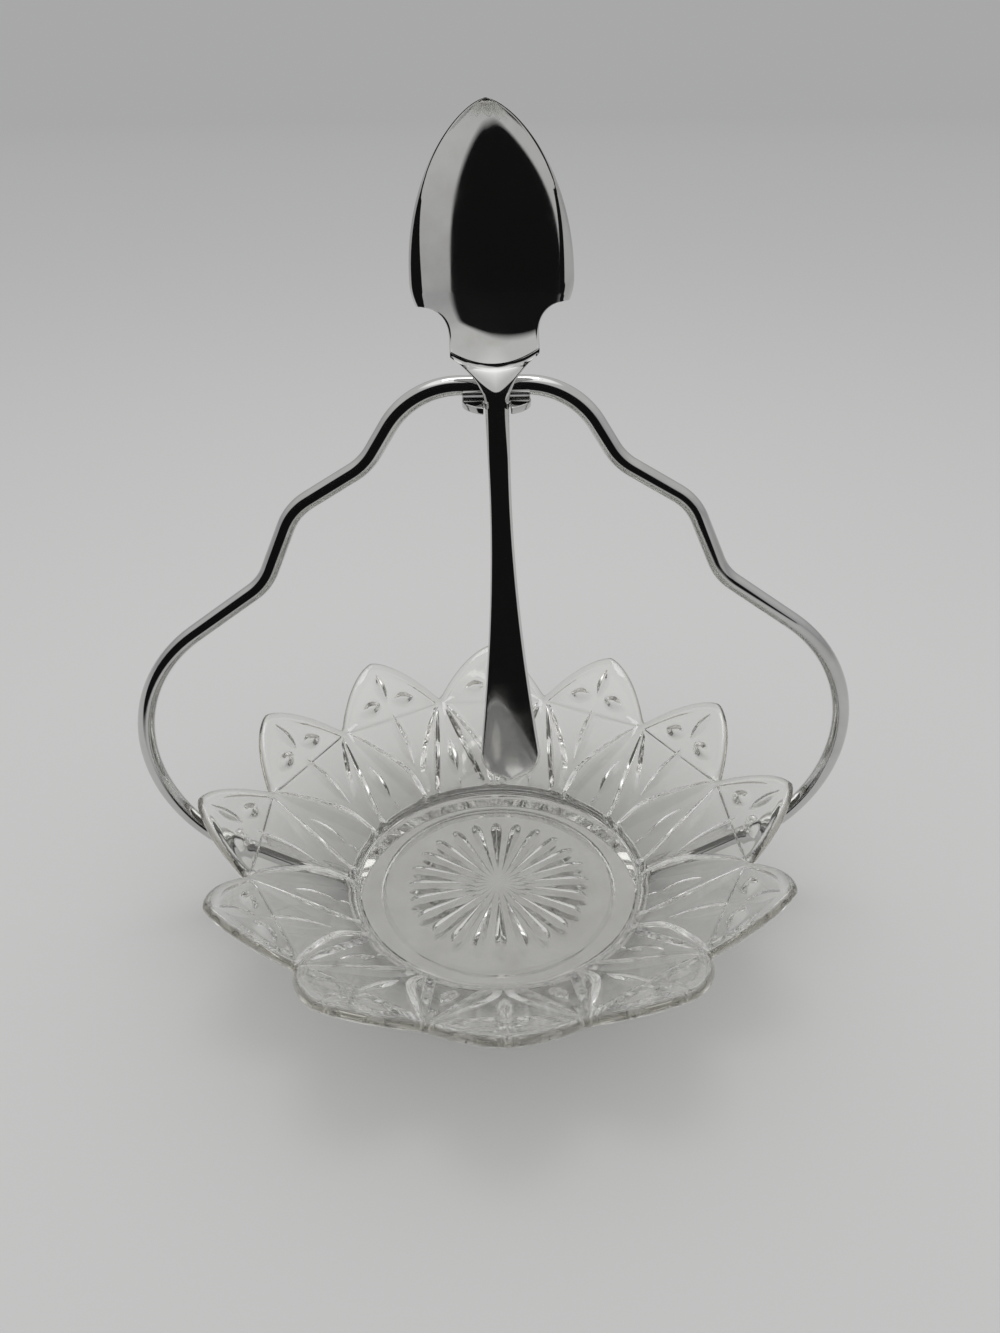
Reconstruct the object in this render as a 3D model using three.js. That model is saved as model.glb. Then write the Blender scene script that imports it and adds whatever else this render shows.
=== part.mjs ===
// Jam dish on a chromed stand. A pressed-glass petal dish sits in a shallow round tray, a stepped
// arch of bent rod is brazed to the tray's wall, and a jam spoon hangs from a hook under the arch.
// Millimetres, +Z up, table at z = 0, the arch in the plane y = 0 and the front towards -Y.

import * as THREE from 'three';

// Tray: a shallow round pressing
const TRAY_RADIUS = 42;
const TRAY_HEIGHT = 6.6;
const TRAY_GAUGE = 0.9;
const TRAY_CORNER = 2.2;
const TRAY_FACETS = 60;

// Dish: twelve petals that fold up at their tips
const DISH_RADIUS = 77;
const PETAL_COUNT = 12;
const PETAL_LENGTH = 11;
const PETAL_SWELL = 1.4;
const NOTCH_LIP = 1.5;
const WALL_SLOPE = THREE.MathUtils.degToRad(36.7);
const TIP_SLOPE = THREE.MathUtils.degToRad(41);
const WALL_THICKNESS = 3.2;
const RIM_THICKNESS = 2.6;
const RIM_ROUND = 1;
const FLOOR_SINK = 0.4;
const FLOOR_FILLET = 0.8;
const FILLET_FULLNESS = 1 / 3;
const FOOT_WIDTH = 8;
const FOOT_HEIGHT = 1.2;
const FOOT_CHAMFER = 0.6;
const FACETS_PER_HALF_PETAL = 6;

// Leaf-shaped cuts pressed in the outside of the wall: grooves from each notch down to the bases of
// its two petals, a vein on each petal's axis and a lens under each notch. Where a cut starts and
// ends is its share of the way up the wall.
const GROOVE_DEPTH = 1;
const GROOVE_SPAN = [0, 1];
const VEIN_DEPTH = 0.8;
const VEIN_SPAN = [0.35, 0.97];
const LENS_DEPTH = 0.7;
const LENS_SPAN = [0.08, 0.6];

// Sunburst of pointed flutes under the dish's floor
const RAYS_PER_PETAL = 2;
const RAY_START = 3;
const RAY_END = 24.5;
const RAY_DEPTH = 0.9;
const RAY_WIDEST = 0.8;
const RAY_NARROWS = 0.3;

// Handle: a round rod bent in a stepped arch, with a flattened end on each side
const ROD_DIAMETER = 4;
const ROD_SIDES = 12;
const HANDLE_HEIGHT = 140.7;
const CROWN_HALF_WIDTH = 16.4;
const CROWN_BEND = 18;
const UPPER_RISER_RUN = 10.5;
const UPPER_RISER_DROP = 16.2;
const UPPER_TREAD_RUN = 16.6;
const UPPER_TREAD_DROP = 9.8;
const LOWER_RISER_RUN = 8.1;
const LOWER_RISER_DROP = 17.3;
const STEP_BEND = 14;
const SHOULDER_SLOPE = THREE.MathUtils.degToRad(34.9);
const HIP_OVERHANG = 9.1;
const ARM_DROP = THREE.MathUtils.degToRad(6.2);
const ROD_END_RISE = 5.1;
const ROD_END_WIDTH = 7;
const ROD_END_HEIGHT = 2.6;
const ROD_END_LENGTH = 14;
const ROD_END_STEPS = 4;
const BEND_STEP = THREE.MathUtils.degToRad(9);

// Hook: a horseshoe plate under the crown of the rod
const HOOK_WIDTH = 14;
const HOOK_THICKNESS = 1.4;
const HOOK_EDGE = 0.3;
const HOOK_BACK = 2.4;
const HOOK_BACK_CORNER = 2;
const HOOK_REACH = 4.6;
const HOOK_OFFSET = 0.8;

// Jam spoon, measured up and down from the top of the hook
const SPOON_LEAN = THREE.MathUtils.degToRad(1.6);
const BOWL_HALF_WIDTH = 15.7;
const BOWL_LENGTH = 30.1;
const BOWL_SIDE_LENGTH = 3.9;
const BOWL_SIDE_TUCK = 0.9;
const BOWL_FULLNESS = 0.65;
const BOWL_STEPS = 9;
const BOWL_DEPTH = 6.5;
const BOWL_DEEPEST = 24;
const BOWL_REACH = 22.4;
const LIP_WIDTH = 2.2;
const LIP_TOP = 42;
const LIP_SLOPE = THREE.MathUtils.degToRad(26);
const SPOON_GAUGE = 1.3;
const SCALLOP_HEIGHT = 6;
const COLLAR_HALF_WIDTH = 8.8;
const COLLAR_LENGTH = 3.6;
const COLLAR_HEIGHT = 8.8;
const BASE_HEIGHT = 7.3;
const BASE_SLOPE = THREE.MathUtils.degToRad(39);
const CRANK_START = 2.3;
const CRANK_SET = 2.2;
const TAPER_HOLLOW = 1.3;
const NECK_HALF_WIDTH = 2.75;
const NECK_THICKNESS = 2.2;
const WAIST_HALF_WIDTH = 2.3;
const WAIST_DEPTH = 17;
const FLARE_DEPTH = 46;
const PADDLE_HALF_WIDTH = 7.2;
const STEM_LENGTH = 91.2;
const PADDLE_TURN = THREE.MathUtils.degToRad(8);
const PADDLE_TURN_DEPTH = 50;
const STEM_CROWN = 0.25;
const SPOON_POINT = 0.5;
const SPOON_COLUMNS = [-1, -0.85, -0.5, 0, 0.5, 0.85, 1];

// Clearances
const SEAT_GAP = 0.2;
const FOOT_CLEARANCE = 1.1;
const RIM_CLEARANCE = 0.75;
const BRAZE_GAP = 0.2;
const SLOT_CLEARANCE = 0.35;
const SPOON_CLEARANCE = 2.6;

const UP = new THREE.Vector3(0, 0, 1);
const lerp = THREE.MathUtils.lerp;

const chrome = new THREE.MeshStandardMaterial({ color: 0xb9babb, roughness: 0.08, metalness: 1 });
const polishedSteel = new THREE.MeshStandardMaterial({ color: 0xb4b3b1, roughness: 0.12, metalness: 1 });
const glass = new THREE.MeshStandardMaterial({
  color: 0xe8e9e4,
  roughness: 0.04,
  metalness: 0,
  transparent: true,
  opacity: 0.45,
});

const part = new THREE.Group();

function addPiece(name, geometry, material) {
  const mesh = new THREE.Mesh(geometry, material);
  mesh.name = name;
  part.add(mesh);
  return mesh;
}

function centreOf(ring) {
  const centre = new THREE.Vector3();
  ring.forEach((point) => centre.add(point));
  return centre.divideScalar(ring.length);
}

// Closed skin over a stack of rings that run anticlockwise as seen from the first end. Each end is
// closed by a fan, and crossed(column, row) picks the quads that are split along their other diagonal.
function loft(rings, crossed = () => false) {
  const count = rings[0].length;
  const points = rings.flat();
  const index = [];
  for (let row = 0; row + 1 < rings.length; row += 1) {
    for (let column = 0; column < count; column += 1) {
      const a = row * count + column;
      const b = row * count + ((column + 1) % count);
      const c = a + count;
      const d = b + count;
      if (crossed(column, row)) {
        index.push(a, c, b, b, c, d);
      } else {
        index.push(a, d, b, a, c, d);
      }
    }
  }
  const lastRow = (rings.length - 1) * count;
  const firstCentre = points.push(centreOf(rings[0])) - 1;
  const lastCentre = points.push(centreOf(rings[rings.length - 1])) - 1;
  for (let column = 0; column < count; column += 1) {
    const next = (column + 1) % count;
    index.push(firstCentre, column, next);
    index.push(lastCentre, lastRow + next, lastRow + column);
  }
  const geometry = new THREE.BufferGeometry().setFromPoints(points);
  geometry.setIndex(index);
  geometry.computeVertexNormals();
  return geometry;
}

// Base tray: flat floor, rounded corner and an upright wall with a rounded rim
const trayInnerRadius = TRAY_RADIUS - TRAY_GAUGE;

function trayProfile() {
  const cornerX = TRAY_RADIUS - TRAY_CORNER;
  const rimX = TRAY_RADIUS - TRAY_GAUGE / 2;
  const rimZ = TRAY_HEIGHT - TRAY_GAUGE / 2;
  const profile = new THREE.Path();
  profile.moveTo(0, 0);
  profile.lineTo(cornerX, 0);
  profile.absarc(cornerX, TRAY_CORNER, TRAY_CORNER, -Math.PI / 2, 0, false);
  profile.absarc(rimX, rimZ, TRAY_GAUGE / 2, 0, Math.PI, false);
  profile.absarc(cornerX, TRAY_CORNER, TRAY_CORNER - TRAY_GAUGE, 0, -Math.PI / 2, true);
  profile.lineTo(0, TRAY_GAUGE);
  return profile.getPoints(2);
}

const trayGeometry = new THREE.LatheGeometry(trayProfile(), TRAY_FACETS);
trayGeometry.rotateX(Math.PI / 2);
addPiece('base_tray', trayGeometry, chrome);

// Glass dish. Its outer face is drawn petal by petal and the thickness goes inwards. Across half a
// petal u runs from 0 on the axis to 1 at the notch, and up the wall v runs from the foot to the fold.
const petalAngle = (2 * Math.PI) / PETAL_COUNT;
const columnsPerPetal = 2 * FACETS_PER_HALF_PETAL;
const columnCount = PETAL_COUNT * columnsPerPetal;
const wallSteps = FACETS_PER_HALF_PETAL;
const notchRadius = DISH_RADIUS - PETAL_LENGTH;
const foldDistance = (notchRadius - NOTCH_LIP) * Math.cos(petalAngle / 2);
const footRadius = trayInnerRadius - FOOT_CLEARANCE;
const footBottom = TRAY_GAUGE + SEAT_GAP;
const recessHeight = footBottom + FOOT_HEIGHT;
const recessRadius = footRadius - FOOT_WIDTH;
const wallBase = TRAY_HEIGHT + RIM_CLEARANCE - Math.tan(WALL_SLOPE) * (TRAY_RADIUS - footRadius);
const foldHeight = wallBase + Math.tan(WALL_SLOPE) * (foldDistance - footRadius);
const innerBaseRadius = footRadius - WALL_THICKNESS * Math.sin(WALL_SLOPE);
const floorHeight = wallBase + WALL_THICKNESS * Math.cos(WALL_SLOPE) - FLOOR_SINK;

function petalColumn(column) {
  const petal = Math.round(column / columnsPerPetal);
  const offset = column - petal * columnsPerPetal;
  return {
    column,
    axis: petal * petalAngle,
    side: Math.sign(offset),
    u: Math.abs(offset) / FACETS_PER_HALF_PETAL,
  };
}

const columns = Array.from({ length: columnCount }, (_, column) => petalColumn(column));

// A point of the outer face in its petal's own frame, lifted inwards square to the slope and then
// turned to its place round the dish
function dishPoint(x, y, z, slope, lift, { axis, side }) {
  const radius = Math.hypot(x, y);
  const shrink = 1 - (lift * Math.sin(slope)) / radius;
  const point = new THREE.Vector3(x * shrink, side * y * shrink, z + lift * Math.cos(slope));
  return point.applyAxisAngle(UP, axis);
}

function circle(radius, height) {
  return columns.map(({ column }) => {
    const angle = (column * petalAngle) / columnsPerPetal;
    return new THREE.Vector3(radius * Math.cos(angle), radius * Math.sin(angle), height);
  });
}

function leafCut(v, depth, [start, end]) {
  const along = THREE.MathUtils.clamp((v - start) / (end - start), 0, 1);
  return depth * Math.sin(Math.PI * along);
}

function cutDepth(u, v) {
  if (u === v) {
    return leafCut(v, GROOVE_DEPTH, GROOVE_SPAN);
  }
  if (u === 0) {
    return leafCut(v, VEIN_DEPTH, VEIN_SPAN);
  }
  return u === 1 ? leafCut(v, LENS_DEPTH, LENS_SPAN) : 0;
}

// The wall below the fold: two flat triangles that meet on the line from the petal's base to the notch
function wallRing(step, lift, isCut) {
  const v = step / wallSteps;
  const half = petalAngle / 2;
  return columns.map((column) => {
    const { u } = column;
    const upper = v >= u;
    const turnX = upper ? foldDistance : footRadius * Math.cos(half);
    const turnY = upper ? 0 : footRadius * Math.sin(half);
    const first = Math.max(u, v);
    const second = Math.min(u, v);
    const x = footRadius + first * (turnX - footRadius) + second * (foldDistance - turnX);
    const y = first * turnY + second * (foldDistance * Math.tan(half) - turnY);
    const cut = isCut ? cutDepth(u, v) : 0;
    const slope = step === wallSteps ? (WALL_SLOPE + TIP_SLOPE) / 2 : WALL_SLOPE;
    return dishPoint(x, y, lerp(wallBase, foldHeight, v), slope, lift + cut, column);
  });
}

// The petal tips beyond the fold, where w runs from the fold to the rim. The middle of the rim's
// thickness reaches the dish's radius, and its two edges draw back from it.
function tipRing(w, lift, drawBack = 0) {
  const midRim = (RIM_THICKNESS / 2) * Math.sin(TIP_SLOPE);
  return columns.map((column) => {
    const { u } = column;
    const angle = (u * petalAngle) / 2;
    const rim = notchRadius + PETAL_LENGTH * (1 - u ** PETAL_SWELL) + midRim - drawBack;
    const x = lerp(foldDistance, rim * Math.cos(angle), w);
    const y = lerp(u * foldDistance * Math.tan(petalAngle / 2), rim * Math.sin(angle), w);
    const z = foldHeight + Math.tan(TIP_SLOPE) * (x - foldDistance);
    return dishPoint(x, y, z, TIP_SLOPE, lift, column);
  });
}

// One row of the sunburst: flutes of full depth on their axes and none on the ridges between them
function rayRing(radius, depth) {
  const columnsPerRay = columnsPerPetal / RAYS_PER_PETAL;
  return circle(radius, recessHeight).map((point, column) => {
    const offset = column - Math.round(column / columnsPerRay) * columnsPerRay;
    point.z += depth * (1 - Math.abs(offset) / (columnsPerRay / 2));
    return point;
  });
}

const upSteps = Array.from({ length: wallSteps + 1 }, (_, step) => step);
const innerRings = [
  circle(innerBaseRadius - FLOOR_FILLET, floorHeight),
  circle(innerBaseRadius - FLOOR_FILLET * FILLET_FULLNESS, floorHeight + FLOOR_SINK * FILLET_FULLNESS),
  ...upSteps.map((step) => wallRing(step, WALL_THICKNESS, false)),
  tipRing(0.5, (WALL_THICKNESS + RIM_THICKNESS) / 2),
  tipRing(1, RIM_THICKNESS, RIM_ROUND),
];
const outerRings = [
  tipRing(1, RIM_THICKNESS / 2),
  tipRing(1, 0, RIM_ROUND),
  tipRing(0.5, 0),
  ...upSteps.toReversed().map((step) => wallRing(step, 0, true)),
  circle(footRadius, footBottom + FOOT_CHAMFER),
  circle(footRadius - FOOT_CHAMFER, footBottom),
  circle(recessRadius, footBottom),
  circle(recessRadius - FOOT_HEIGHT, recessHeight),
  rayRing(RAY_END, 0),
  rayRing(lerp(RAY_START, RAY_END, RAY_WIDEST), RAY_DEPTH),
  rayRing(lerp(RAY_START, RAY_END, RAY_NARROWS), RAY_DEPTH),
  rayRing(RAY_START, 0),
];

// Wall quads are split along the line from base to notch, which leans the other way on each half petal
function alongGroove(column, row) {
  const risingHalf = column % columnsPerPetal < FACETS_PER_HALF_PETAL;
  const insideFace = row < innerRings.length;
  return risingHalf !== insideFace;
}

addPiece('glass_dish', loft([...innerRings, ...outerRings], alongGroove), glass);

// Handle rod, from the foot on the left over the crown to the foot on the right
const rodEndX = TRAY_RADIUS + BRAZE_GAP;

// The hip is one wide bend between the sloping shoulder and the arm that rises along the dish's wall.
// Its radius is the one that brings the rod's centre to the stated overhang beyond the dish.
function hipCorner(shoulder) {
  const armSlope = WALL_SLOPE - ARM_DROP;
  const fall = Math.tan(SHOULDER_SLOPE);
  const rise = Math.tan(armSlope);
  const x = (shoulder.z - ROD_END_RISE + fall * shoulder.x + rise * rodEndX) / (fall + rise);
  const z = ROD_END_RISE + rise * (x - rodEndX);
  const halfCorner = (SHOULDER_SLOPE + armSlope) / 2;
  const tilt = (SHOULDER_SLOPE - armSlope) / 2;
  const reach = DISH_RADIUS + HIP_OVERHANG;
  return { x, z, bend: (x - reach) / (Math.cos(tilt) / Math.sin(halfCorner) - 1) };
}

function rightArm() {
  const crown = { x: CROWN_HALF_WIDTH, z: HANDLE_HEIGHT, bend: CROWN_BEND };
  const upperRiser = { x: crown.x + UPPER_RISER_RUN, z: crown.z - UPPER_RISER_DROP, bend: STEP_BEND };
  const upperTread = {
    x: upperRiser.x + UPPER_TREAD_RUN,
    z: upperRiser.z - UPPER_TREAD_DROP,
    bend: STEP_BEND,
  };
  const lowerRiser = {
    x: upperTread.x + LOWER_RISER_RUN,
    z: upperTread.z - LOWER_RISER_DROP,
    bend: STEP_BEND,
  };
  const end = { x: rodEndX, z: ROD_END_RISE, bend: 0 };
  return [crown, upperRiser, upperTread, lowerRiser, hipCorner(lowerRiser), end];
}

function halfCornerAt(points, i) {
  const back = points[i - 1].clone().sub(points[i]);
  const ahead = points[i + 1].clone().sub(points[i]);
  return back.angleTo(ahead) / 2;
}

// Straight runs joined by arcs, with a flattened stretch at each end. Bends that meet on a run which
// is too short for both are drawn in alike.
function bentPath(corners) {
  const points = corners.map(({ x, z }) => new THREE.Vector2(x, z));
  const last = points.length - 1;
  const wanted = corners.map(({ bend }, i) => {
    const atEnd = i === 0 || i === last;
    return atEnd ? ROD_END_LENGTH : bend / Math.tan(halfCornerAt(points, i));
  });
  const share = (i, j) => Math.min(1, points[i].distanceTo(points[j]) / (wanted[i] + wanted[j]));
  const pointTowards = (i, j, length) => points[j].clone().sub(points[i]).setLength(length).add(points[i]);
  const firstFlat = pointTowards(0, 1, wanted[0] * share(0, 1));
  const lastFlat = pointTowards(last, last - 1, wanted[last] * share(last, last - 1));
  const path = new THREE.Path();
  path.moveTo(points[0].x, points[0].y);
  path.lineTo(firstFlat.x, firstFlat.y);
  for (let i = 1; i < last; i += 1) {
    const halfCorner = halfCornerAt(points, i);
    const setback = wanted[i] * Math.min(share(i - 1, i), share(i, i + 1));
    const start = pointTowards(i, i - 1, setback);
    const finish = pointTowards(i, i + 1, setback);
    const middle = start.clone().add(finish).divideScalar(2).sub(points[i]);
    middle.setLength(setback / Math.cos(halfCorner)).add(points[i]);
    const clockwise = start.clone().sub(points[i]).cross(finish.clone().sub(points[i])) > 0;
    const startAngle = start.clone().sub(middle).angle();
    const finishAngle = finish.clone().sub(middle).angle();
    path.absarc(middle.x, middle.y, setback * Math.tan(halfCorner), startAngle, finishAngle, clockwise);
  }
  path.lineTo(lastFlat.x, lastFlat.y);
  path.lineTo(points[last].x, points[last].y);
  return path;
}

function stepsAlong(curve, path) {
  if (curve === path.curves[0] || curve === path.curves[path.curves.length - 1]) {
    return ROD_END_STEPS;
  }
  return curve.isEllipseCurve ? Math.ceil(curve.getLength() / curve.xRadius / BEND_STEP) : 1;
}

// The rod's section at a station: round, and spread into a flat oval towards the nearer end
function rodRing(point, tangent, flatness) {
  const along = new THREE.Vector3(tangent.x, 0, tangent.y);
  const across = new THREE.Vector3(0, 1, 0);
  const over = across.clone().cross(along);
  const halfWidth = lerp(ROD_DIAMETER, ROD_END_WIDTH, flatness) / 2;
  const halfHeight = lerp(ROD_DIAMETER, ROD_END_HEIGHT, flatness) / 2;
  const atEnd = flatness === 1;
  return Array.from({ length: ROD_SIDES }, (_, side) => {
    const angle = ((side + 0.5) * 2 * Math.PI) / ROD_SIDES;
    const corner = new THREE.Vector3(point.x, 0, point.y);
    corner.addScaledVector(across, halfWidth * Math.cos(angle));
    corner.addScaledVector(over, halfHeight * Math.sin(angle));
    if (atEnd) {
      corner.addScaledVector(along, (point.x - corner.x) / along.x);
    }
    return corner;
  });
}

function rodRings(path) {
  const length = path.getLength();
  const rings = [];
  let passed = 0;
  path.curves.forEach((curve) => {
    const span = curve.getLength();
    const steps = stepsAlong(curve, path);
    const lastStep = curve === path.curves[path.curves.length - 1] ? steps : steps - 1;
    for (let step = 0; step <= lastStep; step += 1) {
      const t = step / steps;
      const distance = passed + t * span;
      const fromEnd = step === steps ? 0 : Math.min(distance, length - distance);
      const flatness = 1 - THREE.MathUtils.smoothstep(fromEnd, 0, ROD_END_LENGTH);
      rings.push(rodRing(curve.getPoint(t), curve.getTangent(t), flatness));
    }
    passed += span;
  });
  return rings;
}

const arm = rightArm();
const otherArm = arm.map((corner) => ({ ...corner, x: -corner.x })).reverse();
addPiece('handle_rod', loft(rodRings(bentPath([...otherArm, ...arm]))), chrome);

// Spoon hook: a flat horseshoe with a round front, its slot just wider than the spoon's neck
const hookTop = HANDLE_HEIGHT - ROD_DIAMETER / 2 - BRAZE_GAP;
const spoonY = -(ROD_DIAMETER / 2 + SPOON_CLEARANCE + NECK_THICKNESS / 2);
const slotHalfWidth = NECK_HALF_WIDTH + SLOT_CLEARANCE;
const slotBack = spoonY + NECK_THICKNESS / 2 + SLOT_CLEARANCE;

function hookShape() {
  const halfWidth = HOOK_WIDTH / 2;
  const roundY = spoonY - HOOK_REACH + halfWidth;
  const prongAngle = Math.acos(slotHalfWidth / halfWidth);
  const cornerX = halfWidth - HOOK_BACK_CORNER;
  const cornerY = HOOK_BACK - HOOK_BACK_CORNER;
  const shape = new THREE.Shape();
  shape.moveTo(slotHalfWidth, slotBack);
  shape.lineTo(slotHalfWidth, roundY - halfWidth * Math.sin(prongAngle));
  shape.absarc(0, roundY, halfWidth, -prongAngle, 0, false);
  shape.absarc(cornerX, cornerY, HOOK_BACK_CORNER, 0, Math.PI / 2, false);
  shape.absarc(-cornerX, cornerY, HOOK_BACK_CORNER, Math.PI / 2, Math.PI, false);
  shape.absarc(0, roundY, halfWidth, Math.PI, Math.PI + prongAngle, false);
  shape.lineTo(-slotHalfWidth, slotBack);
  shape.closePath();
  return shape;
}

const hookGeometry = new THREE.ExtrudeGeometry(hookShape(), {
  depth: HOOK_THICKNESS - 2 * HOOK_EDGE,
  bevelThickness: HOOK_EDGE,
  bevelSize: HOOK_EDGE,
  bevelOffset: -HOOK_EDGE,
  bevelSegments: 2,
  curveSegments: 5,
});
hookGeometry.translate(HOOK_OFFSET, 0, hookTop - HOOK_THICKNESS + HOOK_EDGE);
addPiece('spoon_hook', hookGeometry, chrome);

// Jam spoon: pointed bowl, scalloped shoulders, a collar that tapers to the neck, and a stem that
// flares to a round paddle. Half its outline runs from the tip down to the end of the stem.
const shoulderHeight = COLLAR_HEIGHT + COLLAR_LENGTH + SCALLOP_HEIGHT;
const widestHeight = shoulderHeight + BOWL_SIDE_LENGTH;
const tipHeight = widestHeight + BOWL_LENGTH;

function spoonOutline() {
  const shoulderX = BOWL_HALF_WIDTH - BOWL_SIDE_TUCK;
  const scallopBottom = shoulderHeight - SCALLOP_HEIGHT;
  const paddleTop = PADDLE_HALF_WIDTH - STEM_LENGTH;
  const outline = new THREE.Path();
  outline.moveTo(0, tipHeight);
  for (let step = 1; step <= BOWL_STEPS; step += 1) {
    const below = (step / BOWL_STEPS) ** 2;
    const halfWidth = BOWL_HALF_WIDTH * (1 - (1 - below) ** 2) ** BOWL_FULLNESS;
    outline.lineTo(halfWidth, tipHeight - below * BOWL_LENGTH);
  }
  outline.lineTo(shoulderX, shoulderHeight);
  outline.absellipse(
    shoulderX,
    scallopBottom,
    shoulderX - COLLAR_HALF_WIDTH,
    SCALLOP_HEIGHT,
    Math.PI / 2,
    Math.PI,
    false,
  );
  outline.lineTo(COLLAR_HALF_WIDTH, COLLAR_HEIGHT);
  outline.quadraticCurveTo(NECK_HALF_WIDTH + TAPER_HOLLOW, COLLAR_HEIGHT / 2, NECK_HALF_WIDTH, 0);
  outline.quadraticCurveTo(WAIST_HALF_WIDTH, -WAIST_DEPTH / 2, WAIST_HALF_WIDTH, -WAIST_DEPTH);
  outline.quadraticCurveTo(WAIST_HALF_WIDTH, -FLARE_DEPTH, PADDLE_HALF_WIDTH, paddleTop);
  outline.absarc(0, paddleTop, PADDLE_HALF_WIDTH, 0, -Math.PI / 2, true);
  return outline.getPoints(4);
}

// How far the spoon's face lies behind the front of its stem. The collar is cranked back, the bowl's
// base climbs steeply to the hollow, and a lip turns outwards along each side of the bowl. The paddle
// turns a little to the front.
function setBack(x, halfWidth, height) {
  const turned = Math.max(-PADDLE_TURN_DEPTH - height, 0) ** 2 / (2 * (STEM_LENGTH - PADDLE_TURN_DEPTH));
  const crank = CRANK_SET * THREE.MathUtils.clamp((height - CRANK_START) / (BASE_HEIGHT - CRANK_START), 0, 1);
  if (height < BASE_HEIGHT) {
    return crank - Math.tan(PADDLE_TURN) * turned;
  }
  const alongLip = (LIP_TOP - height) / (LIP_TOP - widestHeight);
  const hasLip = height >= shoulderHeight ? THREE.MathUtils.clamp(alongLip, 0, 1) : 0;
  const inside = halfWidth - LIP_WIDTH * hasLip;
  const beyond = Math.max(Math.abs(x) - inside, 0);
  const acrossBowl = (Math.abs(x) - beyond) / BOWL_HALF_WIDTH;
  const alongBowl = (height - BOWL_DEEPEST) / BOWL_REACH;
  const scoop = BOWL_DEPTH * (1 - acrossBowl ** 2 - alongBowl ** 2);
  const base = Math.tan(BASE_SLOPE) * (height - BASE_HEIGHT);
  return crank + Math.min(scoop, base) + Math.tan(LIP_SLOPE) * beyond;
}

function spoonThickness(height) {
  const neckness = 1 - THREE.MathUtils.smoothstep(Math.abs(height), 0, COLLAR_HEIGHT + COLLAR_LENGTH);
  return lerp(SPOON_GAUGE, NECK_THICKNESS, neckness);
}

// One section of the spoon: the front face from left to right, then the back face to the left again
function spoonRing(halfWidth, height) {
  const thickness = spoonThickness(height);
  const face = (u, offset) => {
    const x = u * halfWidth;
    return new THREE.Vector3(x, setBack(x, halfWidth, height) + offset, height);
  };
  const crown = (u) => (thickness / 2) * (1 - STEM_CROWN * u * u);
  const front = SPOON_COLUMNS.map((u) => face(u, -crown(u)));
  const back = SPOON_COLUMNS.map((u) => face(u, crown(u))).reverse();
  return [...front, ...back];
}

const spoonRings = spoonOutline().map(({ x, y }) => spoonRing(Math.max(x, SPOON_POINT), y));
const spoon = addPiece('jam_spoon', loft(spoonRings), polishedSteel);
spoon.position.set(HOOK_OFFSET, spoonY, hookTop);
spoon.rotation.y = -SPOON_LEAN;

export default part;
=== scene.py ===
from math import ceil, cos, hypot, pi, radians, sin, tan

import bmesh
import bpy
import numpy as np
from mathutils import Matrix, Vector


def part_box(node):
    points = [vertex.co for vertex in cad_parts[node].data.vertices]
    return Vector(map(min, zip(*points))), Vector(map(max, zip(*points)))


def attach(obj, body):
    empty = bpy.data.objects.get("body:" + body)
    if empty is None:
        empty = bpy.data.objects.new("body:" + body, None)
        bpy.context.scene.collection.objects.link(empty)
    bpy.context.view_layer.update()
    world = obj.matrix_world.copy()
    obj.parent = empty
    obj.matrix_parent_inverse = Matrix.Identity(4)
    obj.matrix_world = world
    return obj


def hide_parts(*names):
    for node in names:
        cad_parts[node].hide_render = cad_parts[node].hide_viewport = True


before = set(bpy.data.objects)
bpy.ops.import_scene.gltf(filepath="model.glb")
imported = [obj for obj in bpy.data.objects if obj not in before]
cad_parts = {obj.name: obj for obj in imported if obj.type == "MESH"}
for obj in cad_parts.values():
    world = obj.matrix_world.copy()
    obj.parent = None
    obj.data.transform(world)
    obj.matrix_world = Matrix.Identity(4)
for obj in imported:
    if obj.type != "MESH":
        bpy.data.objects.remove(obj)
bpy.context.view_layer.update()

# Base tray: a shallow round pressing of steel sheet, chromium plated, in which the dish stands.
# It is a disc whose inside is sunk to the sheet's gauge, with its corner, rim and floor edges rounded.
MM = 0.001
HAIR = 0.01 * MM
TRAY_GAUGE = 0.9 * MM
TRAY_CORNER = 2.2 * MM
TRAY_RIM_EASE = 0.45 * TRAY_GAUGE
TRAY_SIDES = 192
CREASE_ANGLE = radians(30)

tray_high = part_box("base_tray")[1]
tray_radius = tray_high.x
tray_height = tray_high.z


def start_piece(name):
    """Take the primitive just added as a piece with its place in its mesh, open in edit mode"""
    piece = bpy.context.object
    piece.name = name
    piece.data.name = name
    bpy.ops.object.transform_apply(location=True, rotation=True, scale=True)
    bpy.ops.object.mode_set(mode="EDIT")
    return piece


def pick(piece, kind, test):
    """In edit mode, select the points, edges or faces whose corners all pass the test"""
    bpy.ops.mesh.select_mode(type=kind)
    bpy.ops.mesh.select_all(action="DESELECT")
    skin = bmesh.from_edit_mesh(piece.data)
    parts = {"VERT": skin.verts, "EDGE": skin.edges, "FACE": skin.faces}[kind]
    for part in parts:
        corners = [part] if kind == "VERT" else part.verts
        part.select_set(all(test(corner.co) for corner in corners))
    skin.select_flush_mode()
    bmesh.update_edit_mesh(piece.data)


def close_skin():
    """Merge what meets and turn every face outwards, then leave edit mode"""
    bpy.ops.mesh.select_all(action="SELECT")
    bpy.ops.mesh.remove_doubles(threshold=0.1 * HAIR)
    bpy.ops.mesh.normals_make_consistent(inside=False)
    bpy.ops.object.mode_set(mode="OBJECT")


def place_piece(piece, material, body, node):
    """Give the piece its finish and put it on its body in place of the plain solid"""
    piece.data.materials.clear()
    piece.data.materials.append(material)
    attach(piece, body)
    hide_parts(node)
    bpy.ops.object.select_all(action="DESELECT")


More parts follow.
